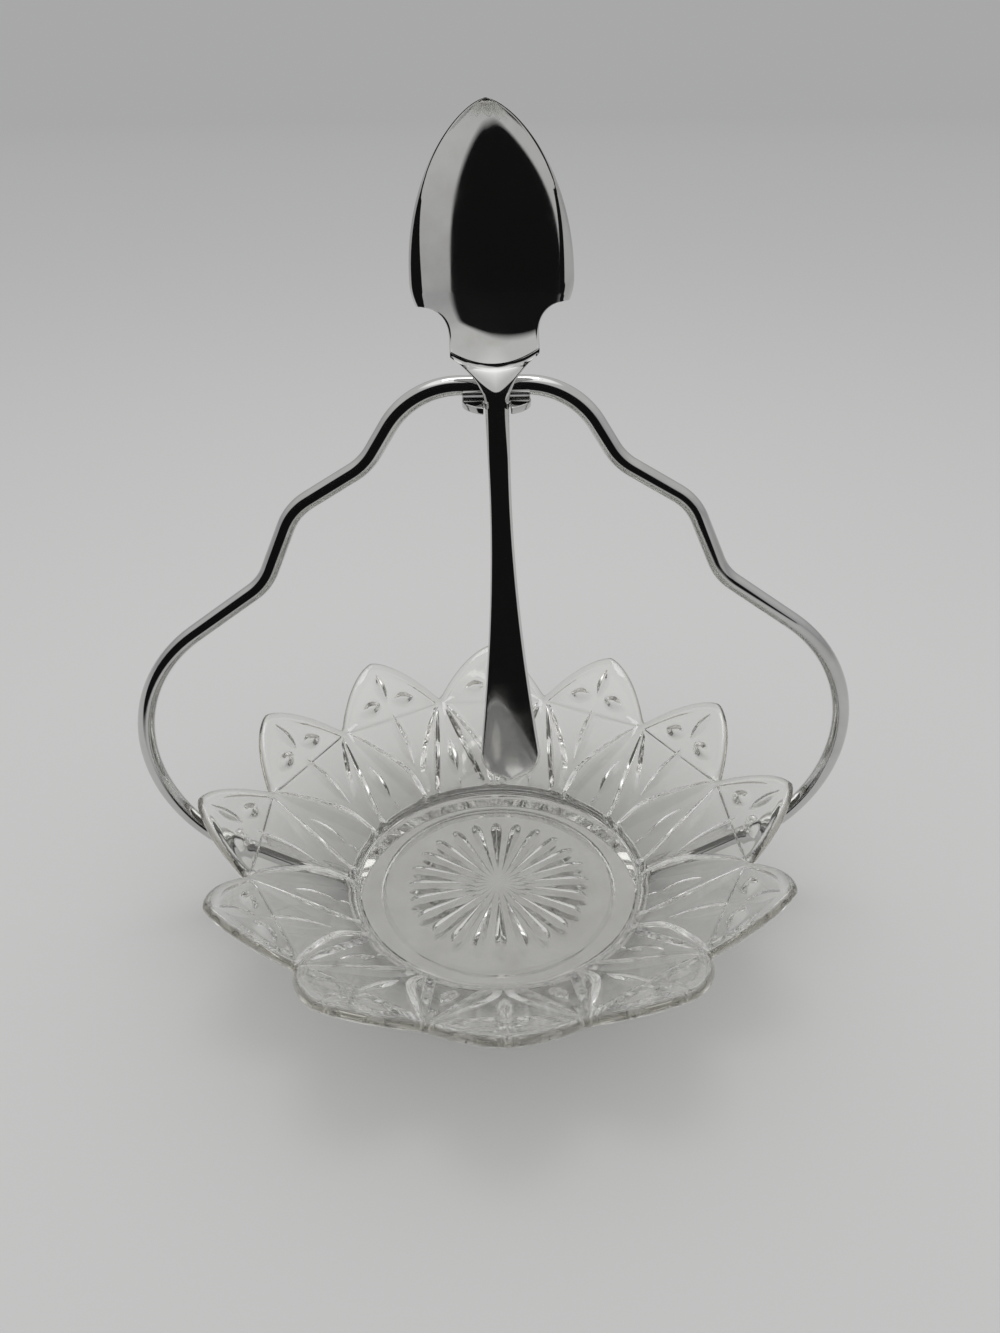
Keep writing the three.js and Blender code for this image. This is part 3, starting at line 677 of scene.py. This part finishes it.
# The marked rim rows take that tint, which paints shade along the rim.
rim_shade_mark = glass_tree.nodes.new("ShaderNodeAttribute")
rim_shade_mark.attribute_name = "edge"
rim_tint_and_shade = mix_tint(glass_tree, rim_shade_mark.outputs["Fac"], warmth, GLASS_RIM_PAINTED_SHADE)
glass_tree.links.new(rim_tint_and_shade, glass_shader.inputs["Base Color"])
glass_tree.links.new(smeared.outputs["Result"], glass_shader.inputs["Roughness"])
glass_tree.links.new(fire_polish.outputs["Normal"], glass_shader.inputs["Normal"])
glass_shader.inputs["IOR"].default_value = GLASS_IOR
glass_shader.inputs["Transmission Weight"].default_value = 1.0
glass_path = glass_tree.nodes.new("ShaderNodeLightPath")
lit_through = math_node(glass_tree, "MAXIMUM", glass_path.outputs["Is Shadow Ray"],
                        glass_path.outputs["Is Diffuse Ray"])
let_through = glass_tree.nodes.new("ShaderNodeBsdfTransparent")
let_through.inputs["Color"].default_value = GLASS_SHADE
glass_mix = add_node(glass_tree, "ShaderNodeMixShader",
                     {0: lit_through, 1: glass_shader.outputs[0], 2: let_through.outputs[0]})
glass_tree.links.new(glass_mix.outputs[0], glass_tree.nodes["Material Output"].inputs["Surface"])
place_piece(dish, glass, "dish", "glass_dish")

# Jam spoon: stamped from plate and polished, with a pointed bowl, scalloped shoulders, a collar that
# rests on the hook, and a stem that flares to a round paddle. Its section is drawn from tip to paddle.
SPOON_LEAN = radians(1.6)
BOWL_HALF_WIDTH = 15.7 * MM
BOWL_LENGTH = 30.1 * MM
BOWL_SIDE_LENGTH = 3.9 * MM
BOWL_SIDE_TUCK = 0.9 * MM
BOWL_FULLNESS = 0.65
BOWL_DEPTH = 5.2 * MM
BOWL_SET = 0.6 * MM
BOWL_SQUARENESS = 2.4
BOWL_DEEPEST = 24 * MM
BOWL_HEEL = 17 * MM
BOWL_HEEL_LIMIT = 0.98
BOWL_TIP_RISE = 4 * MM
BOWL_BLEND = 0.8 * MM
LIP_WIDTH = 2.2 * MM
LIP_TOP = 48 * MM
LIP_SLOPE = radians(18)
SPOON_GAUGE = 1.3 * MM
SCALLOP_HEIGHT = 6 * MM
COLLAR_HALF_WIDTH = 8.8 * MM
COLLAR_LENGTH = 3.6 * MM
COLLAR_HEIGHT = 8.8 * MM
BASE_HEIGHT = 7.3 * MM
BASE_SLOPE = radians(34)
BASE_EDGE_RISE = 2.8 * MM
BASE_EDGE_SOFT = 0.35 * MM
WING_RISE = 1.6 * MM
CRANK_SET = 2.2 * MM
TONGUE_TOP = 6.6 * MM
TONGUE_END = 2.3 * MM
TONGUE_HALF_WIDTH = 5.5 * MM
TONGUE_SLOPE = radians(33)
TONGUE_POINT = 1.4
TAPER_HOLLOW = 0.25 * MM
NECK_HALF_WIDTH = 2.45 * MM
NECK_THICKNESS = 2.2 * MM
WAIST_HALF_WIDTH = 2.3 * MM
WAIST_DEPTH = 17 * MM
FLARE_DEPTH = 46 * MM
PADDLE_HALF_WIDTH = 7.2 * MM
PADDLE_TURN = radians(8)
PADDLE_TURN_DEPTH = 50 * MM
STEM_LENGTH = 91.2 * MM
STEM_CROWN = 0.3
EDGE_SHARE = 0.45
LIP_SHARE = 0.6
LIP_LEAST = 1.25
BACK_RELIEF = 0.6
SLOT_PLAY = 0.35 * MM
SPOON_SMOOTH_ANGLE = radians(70)
EDGE_COLUMNS = 6
LIP_COLUMNS = 6
FACE_COLUMNS = 24
BOWL_STEPS = 80
BOWL_SIDE_STEPS = 14
SCALLOP_STEPS = 33
COLLAR_STEPS = 20
TAPER_STEPS = 64
NECK_STEPS = 24
FLARE_STEPS = 64
PADDLE_STEPS = 36

spoon_y = SLOT_BACK - SLOT_PLAY - NECK_THICKNESS / 2
scallop_bottom = COLLAR_HEIGHT + COLLAR_LENGTH
shoulder_height = scallop_bottom + SCALLOP_HEIGHT
shoulder_x = BOWL_HALF_WIDTH - BOWL_SIDE_TUCK
widest_height = shoulder_height + BOWL_SIDE_LENGTH
tip_height = widest_height + BOWL_LENGTH
paddle_top = PADDLE_HALF_WIDTH - STEM_LENGTH


def arc(x, height, run, rise, start, end, count):
    """Points of an oval's arc about a centre"""
    turns = np.linspace(start, end, count)
    return np.stack([x + run * np.cos(turns), height + rise * np.sin(turns)], axis=1)


def sweep_curve(start, pull, end, count):
    """Points of a curve from start to end, drawn towards a third point"""
    t = np.linspace(0, 1, count)[:, None]
    return (1 - t) ** 2 * np.array(start) + 2 * t * (1 - t) * np.array(pull) + t ** 2 * np.array(end)


def spoon_outline():
    """Half the spoon's outline as half-width and height, from the tip to the end of the paddle"""
    below = np.linspace(0, 1, BOWL_STEPS) ** 2
    width = BOWL_HALF_WIDTH * (1 - (1 - below) ** 2) ** BOWL_FULLNESS
    flank = np.linspace(0, 1, BOWL_SIDE_STEPS)[1:]
    collar_top = (COLLAR_HALF_WIDTH, scallop_bottom)
    collar_foot = (COLLAR_HALF_WIDTH, COLLAR_HEIGHT)
    neck = (NECK_HALF_WIDTH, 0)
    waist = (WAIST_HALF_WIDTH, -WAIST_DEPTH)
    return np.concatenate([
        np.stack([width, tip_height - below * BOWL_LENGTH], axis=1),
        np.stack([BOWL_HALF_WIDTH - BOWL_SIDE_TUCK * flank ** 2,
                  widest_height - BOWL_SIDE_LENGTH * flank], axis=1),
        arc(shoulder_x, scallop_bottom, shoulder_x - COLLAR_HALF_WIDTH, SCALLOP_HEIGHT,
            pi / 2, pi, SCALLOP_STEPS)[1:],
        sweep_curve(collar_top, collar_top, collar_foot, COLLAR_STEPS)[1:],
        sweep_curve(collar_foot, (NECK_HALF_WIDTH + TAPER_HOLLOW, COLLAR_HEIGHT / 2), neck, TAPER_STEPS)[1:],
        sweep_curve(neck, (WAIST_HALF_WIDTH, -WAIST_DEPTH / 2), waist, NECK_STEPS)[1:],
        sweep_curve(waist, (WAIST_HALF_WIDTH, -FLARE_DEPTH), (PADDLE_HALF_WIDTH, paddle_top),
                    FLARE_STEPS)[1:],
        arc(0, paddle_top, PADDLE_HALF_WIDTH, PADDLE_HALF_WIDTH, 0, -pi / 2, PADDLE_STEPS)[1:],
    ])


def lip_width(half_width, height):
    """Width of the turned-out lip, which runs out towards the tip and below the shoulders"""
    on_bowl = np.clip((height - scallop_bottom) / SCALLOP_HEIGHT, 0, 1)
    run_out = ease((LIP_TOP - height) / (LIP_TOP - widest_height))
    return np.minimum(LIP_WIDTH * on_bowl * run_out, LIP_SHARE * half_width)


def base_edge(x):
    """Height of the curved edge at which the bowl's base meets the collar"""
    return BASE_HEIGHT + BASE_EDGE_RISE * np.minimum(np.abs(x) / COLLAR_HALF_WIDTH, 1) ** 2


def set_back(x, half_width, height):
    """How far the face lies behind the stem: paddle, cranked collar, steep base, hollow bowl and lips"""
    turned = np.maximum(-PADDLE_TURN_DEPTH - height, 0)
    forward = tan(PADDLE_TURN) * turned ** 2 / (STEM_LENGTH - PADDLE_TURN_DEPTH) / 2
    crank = CRANK_SET * np.clip((height - TONGUE_END) / (BASE_HEIGHT - TONGUE_END), 0, 1)
    heel = np.clip((widest_height - height) / BOWL_HEEL, 0, BOWL_HEEL_LIMIT)
    bowl_width = np.where(height < widest_height, (BOWL_HALF_WIDTH - LIP_WIDTH) * np.sqrt(1 - heel ** 2),
                          np.maximum(half_width - lip_width(half_width, height), HAIR))
    beyond = np.maximum(np.abs(x) - bowl_width, 0)
    inside = (np.abs(x) - beyond) / bowl_width
    boat = BOWL_DEPTH * bowl_width / BOWL_HALF_WIDTH * (1 - inside ** BOWL_SQUARENESS)
    from_deepest = (height - BOWL_DEEPEST) / (tip_height - BOWL_DEEPEST)
    scoop = BOWL_SET + boat - BOWL_TIP_RISE * from_deepest ** 2
    base = tan(BASE_SLOPE) * np.maximum(height - base_edge(x), 0)
    blend = np.clip(0.5 + (base - scoop) / (2 * BOWL_BLEND), 0, 1)
    hollow = base + (scoop - base) * blend - BOWL_BLEND * blend * (1 - blend) + tan(LIP_SLOPE) * beyond
    return crank - forward + np.where(height < base_edge(x), 0, hollow)


def collar_relief(x, height):
    """The tongue scooped out above the neck, and the wings that slope back under the base's curved edge"""
    reach = np.abs(x) / TONGUE_HALF_WIDTH
    tongue_end = TONGUE_END + (TONGUE_TOP - TONGUE_END) * reach ** TONGUE_POINT
    crank_slope = CRANK_SET / (BASE_HEIGHT - TONGUE_END)
    on_tongue = np.clip(np.minimum(height, TONGUE_TOP) - tongue_end, 0, None)
    scoop = (tan(TONGUE_SLOPE) - crank_slope) * on_tongue
    wing_start = TONGUE_TOP + WING_RISE * (x / COLLAR_HALF_WIDTH) ** 2
    wing = tan(TONGUE_SLOPE) * np.clip(height - wing_start, 0, None)
    return (scoop + wing) * np.clip((base_edge(x) - height) / BASE_EDGE_SOFT, 0, 1)


def spoon_row(half_width, height):
    """One section of the spoon, from the left edge over the front to the right and back behind"""
    thickness = NECK_THICKNESS + (SPOON_GAUGE - NECK_THICKNESS) * ease(abs(height) / scallop_bottom)
    edge = min(thickness / 2, EDGE_SHARE * half_width)
    lip = max(lip_width(half_width, height), LIP_LEAST * edge)
    inset = np.concatenate([edge * (1 - np.cos(np.linspace(0, pi / 2, EDGE_COLUMNS + 1))),
                            np.linspace(edge, lip, LIP_COLUMNS + 1)[1:],
                            np.linspace(lip, half_width, FACE_COLUMNS + 1)[1:]])
    x = np.concatenate([inset - half_width, (half_width - inset)[-2::-1]])
    rounding = np.sqrt(1 - np.clip(1 - inset / max(edge, HAIR), 0, 1) ** 2)
    rounding = np.concatenate([rounding, rounding[-2::-1]])
    flatten = STEM_CROWN * min(WAIST_HALF_WIDTH / max(half_width, HAIR), 1) ** 2
    crown = thickness / 2 * (1 - flatten * (x / max(half_width, HAIR)) ** 2) * rounding
    below_shoulder = (shoulder_height - height) / (shoulder_height - base_edge(BOWL_HALF_WIDTH))
    bend = ease(below_shoulder) * ease(height / COLLAR_LENGTH)
    level = height - bend * (base_edge(half_width) - base_edge(x))
    middle = set_back(x, half_width, level)
    relief = collar_relief(x, level) * rounding
    front = np.stack([x, middle + relief - crown, level], axis=1)
    back = np.stack([x, middle + BACK_RELIEF * relief + crown, level], axis=1)
    return np.concatenate([front, back[::-1]])


spoon_rows = [spoon_row(max(x, 0), height) for x, height in spoon_outline()]
hang = Matrix.Translation((hook_middle, spoon_y, hook_high.z)) @ Matrix.Rotation(-SPOON_LEAN, 4, "Y")
spoon = wrap_grid("jam_spoon_stamped", spoon_rows)
spoon.data.transform(hang)
bpy.ops.object.shade_smooth_by_angle(angle=SPOON_SMOOTH_ANGLE)
plate = plated_metal("spoon_plate", clean=(0.71, 0.71, 0.70, 1.0), dulled=(0.62, 0.61, 0.59, 1.0),
                     polish=0.045, haze=0.07, cloud_scale=90.0, hairline=0.06)
place_piece(spoon, plate, "spoon", "jam_spoon")

# Studio: a pale table that fades into a pale backdrop, in a tent whose top is lit and whose front is open
# and dark, which is what gives bright metal its dark bands. Glass sees a dark room between two lit sides.
# A lamp above adds the small white lights on the metal.
# To mirrored rays the table is painted black in front of the dish: a painted reflection of the dark room,
# which the metal shows.
FLOOR_SIZE = 60.0
FLOOR_DROP = 0.1 * MM
FRONT_EDGE = 0.08
FRONT_BLEND = 0.02
TABLE_FADE_START = 0.15
TABLE_NEAR_TINT = (0.575, 0.575, 0.572, 1.0)
TABLE_FAR_TINT = (0.467, 0.467, 0.472, 1.0)
# Painted reflection: the black that glossy rays see on the table's front.
PAINTED_DARK_REFLECTION_TINT = (0.008, 0.008, 0.008, 1.0)
OPENING_LEFT = radians(-70)
OPENING_RIGHT = radians(40)
OPENING_TOP = 0.75
OPENING_BLEND = 0.12
TENT_GLOW = (0.84, 0.84, 0.84, 1.0)
TENT_TOP_START = 0.08
TENT_TOP_FULL = 0.55
BACKDROP_TINT = (0.392, 0.392, 0.397, 1.0)
TENT_TOP_TINT = (0.6, 0.6, 0.595, 1.0)
OPENING_TINT = (0.007, 0.007, 0.007, 1.0)
ROOM_REACH = radians(106)
SIDE_REACH = radians(135)
SIDE_TINT = (1.5, 1.5, 1.5, 1.0)
OVERHEAD_START = 0.82
OVERHEAD_FULL = 0.9
ZENITH_START = 0.96
ZENITH_FULL = 0.985
ROOM_TINT = (0.05, 0.048, 0.042, 1.0)
OVERHEAD_TINT = (1.2, 1.2, 1.2, 1.0)
LAMP_PLACE = (0, 0.1, 0.9)
LAMP_WIDTH = 0.4
LAMP_DEPTH = 0.3
LAMP_POWER = 1.2


def towards(tree, value, start, end):
    """How far a value has gone from start to end, from 0 to 1"""
    span = {"From Min": start, "From Max": end}
    return add_node(tree, "ShaderNodeMapRange", {"Value": value}, **span).outputs["Result"]


def open_sector(tree, axes, left, right, top):
    """How far a direction lies in an oval of the tent, which is opened to the front"""
    ahead = math_node(tree, "MULTIPLY", axes.outputs["Y"], -1.0)
    bearing = math_node(tree, "ARCTAN2", axes.outputs["X"], ahead)
    turned = math_node(tree, "SUBTRACT", bearing, (left + right) / 2)
    aside = math_node(tree, "DIVIDE", turned, (right - left) / 2)
    above = math_node(tree, "DIVIDE", axes.outputs["Z"], top)
    oval = math_node(tree, "ADD", math_node(tree, "MULTIPLY", aside, aside),
                     math_node(tree, "MULTIPLY", above, above))
    return towards(tree, oval, 1 + OPENING_BLEND, 1 - OPENING_BLEND)


bpy.ops.mesh.primitive_plane_add(size=FLOOR_SIZE, location=(0, 0, -FLOOR_DROP))
floor = bpy.context.object
floor.name = "floor"
table, table_shader = new_material("pale_table")
table_tree = table.node_tree
table_place = table_tree.nodes.new("ShaderNodeTexCoord").outputs["Object"]
table_axes = add_node(table_tree, "ShaderNodeSeparateXYZ", {"Vector": table_place})
table_ahead = math_node(table_tree, "MULTIPLY", table_axes.outputs["Y"], -1.0)
table_left = tan(OPENING_LEFT)
table_right = tan(OPENING_RIGHT)
table_middle = math_node(table_tree, "MULTIPLY", table_ahead, (table_left + table_right) / 2)
table_aside = math_node(table_tree, "SUBTRACT", table_axes.outputs["X"], table_middle)
table_aside = math_node(table_tree, "DIVIDE", table_aside, (table_right - table_left) / 2)
front_line = math_node(table_tree, "MULTIPLY", table_aside, table_aside)
front_line = math_node(table_tree, "ADD", front_line, FRONT_EDGE ** 2)
front_line = math_node(table_tree, "SQRT", front_line, 0.0)
past_front = math_node(table_tree, "SUBTRACT", table_ahead, front_line)
dark_reflection_zone = towards(table_tree, past_front, 0.0, FRONT_BLEND)
table_path = table_tree.nodes.new("ShaderNodeLightPath")
# Only glossy rays see this painted dark reflection; the camera and diffuse light see the pale table.
mirrored = math_node(table_tree, "MULTIPLY", dark_reflection_zone, table_path.outputs["Is Glossy Ray"])
table_reach = add_node(table_tree, "ShaderNodeVectorMath", {0: table_place}, operation="LENGTH")
table_fade = table_tree.nodes.new("ShaderNodeValToRGB")
far_off = math_node(table_tree, "LOGARITHM", table_reach.outputs["Value"], 10.0)
table_tree.links.new(towards(table_tree, far_off, -1.0, 1.0), table_fade.inputs["Fac"])
fade_stops = table_fade.color_ramp.elements
fade_stops[0].position = TABLE_FADE_START
fade_stops[0].color = TABLE_NEAR_TINT
fade_stops[1].color = TABLE_FAR_TINT
table_tint = mix_tint(table_tree, mirrored, table_fade.outputs["Color"], PAINTED_DARK_REFLECTION_TINT)
table_tree.links.new(table_tint, table_shader.inputs["Base Color"])
table_shader.inputs["Roughness"].default_value = 0.9
table_shader.inputs["Specular IOR Level"].default_value = 0.0
floor.data.materials.append(table)

world = bpy.data.worlds.new("light_tent")
bpy.context.scene.world = world
world.use_nodes = True
sky = world.node_tree
sky_place = sky.nodes.new("ShaderNodeTexCoord").outputs["Generated"]
sky_path = sky.nodes.new("ShaderNodeLightPath")
sky_axes = add_node(sky, "ShaderNodeSeparateXYZ", {"Vector": sky_place})
sky_height = sky_axes.outputs["Z"]
tent = mix_tint(sky, towards(sky, sky_height, TENT_TOP_START, TENT_TOP_FULL), BACKDROP_TINT, TENT_TOP_TINT)
opening = open_sector(sky, sky_axes, OPENING_LEFT, OPENING_RIGHT, OPENING_TOP)
mirrored_tent = mix_tint(sky, opening, tent, OPENING_TINT)
overhead = towards(sky, sky_height, OVERHEAD_START, OVERHEAD_FULL)
mirrored_tent = mix_tint(sky, overhead, mirrored_tent, OVERHEAD_TINT)
lit_sides = open_sector(sky, sky_axes, -SIDE_REACH, SIDE_REACH, 1.0)
refracted_tent = mix_tint(sky, lit_sides, tent, SIDE_TINT)
dark_room = open_sector(sky, sky_axes, -ROOM_REACH, ROOM_REACH, 1.0)
refracted_tent = mix_tint(sky, dark_room, refracted_tent, ROOM_TINT)
zenith = towards(sky, sky_height, ZENITH_START, ZENITH_FULL)
refracted_tent = mix_tint(sky, zenith, refracted_tent, TENT_TOP_TINT)
tent = mix_tint(sky, sky_path.outputs["Is Glossy Ray"], TENT_GLOW, mirrored_tent)
tent = mix_tint(sky, sky_path.outputs["Is Transmission Ray"], tent, refracted_tent)
tent = mix_tint(sky, sky_path.outputs["Is Camera Ray"], tent, BACKDROP_TINT)
sky.links.new(tent, sky.nodes["Background"].inputs["Color"])

bpy.ops.object.light_add(type="AREA", location=LAMP_PLACE)
lamp = bpy.context.object
lamp.name = "soft_box"
lamp.data.shape = "RECTANGLE"
lamp.data.size = LAMP_WIDTH
lamp.data.size_y = LAMP_DEPTH
lamp.data.energy = LAMP_POWER
lamp.visible_transmission = False

# Camera: the photograph's own viewpoint, a little above the dish and close to it.
CAMERA_TARGET = Vector((1.04, 0, 74.15)) * MM
CAMERA_DISTANCE = 228.82 * MM
CAMERA_AZIMUTH = radians(-1.46)
CAMERA_ELEVATION = radians(30.73)
CAMERA_ROLL = radians(-0.58)
CAMERA_LENS = 25.93

aim = (Matrix.Rotation(CAMERA_AZIMUTH, 4, "Z") @ Matrix.Rotation(pi / 2 - CAMERA_ELEVATION, 4, "X")
       @ Matrix.Rotation(CAMERA_ROLL, 4, "Z"))
bpy.ops.object.camera_add()
camera = bpy.context.object
camera.matrix_world = Matrix.Translation(CAMERA_TARGET) @ aim @ Matrix.Translation((0, 0, CAMERA_DISTANCE))
camera.data.lens = CAMERA_LENS
camera.data.clip_start = 5 * MM
bpy.context.scene.camera = camera
bpy.context.scene.view_settings.view_transform = "Standard"
bpy.context.scene.cycles.max_bounces = 24
bpy.context.scene.cycles.glossy_bounces = 16
bpy.context.scene.cycles.transmission_bounces = 24
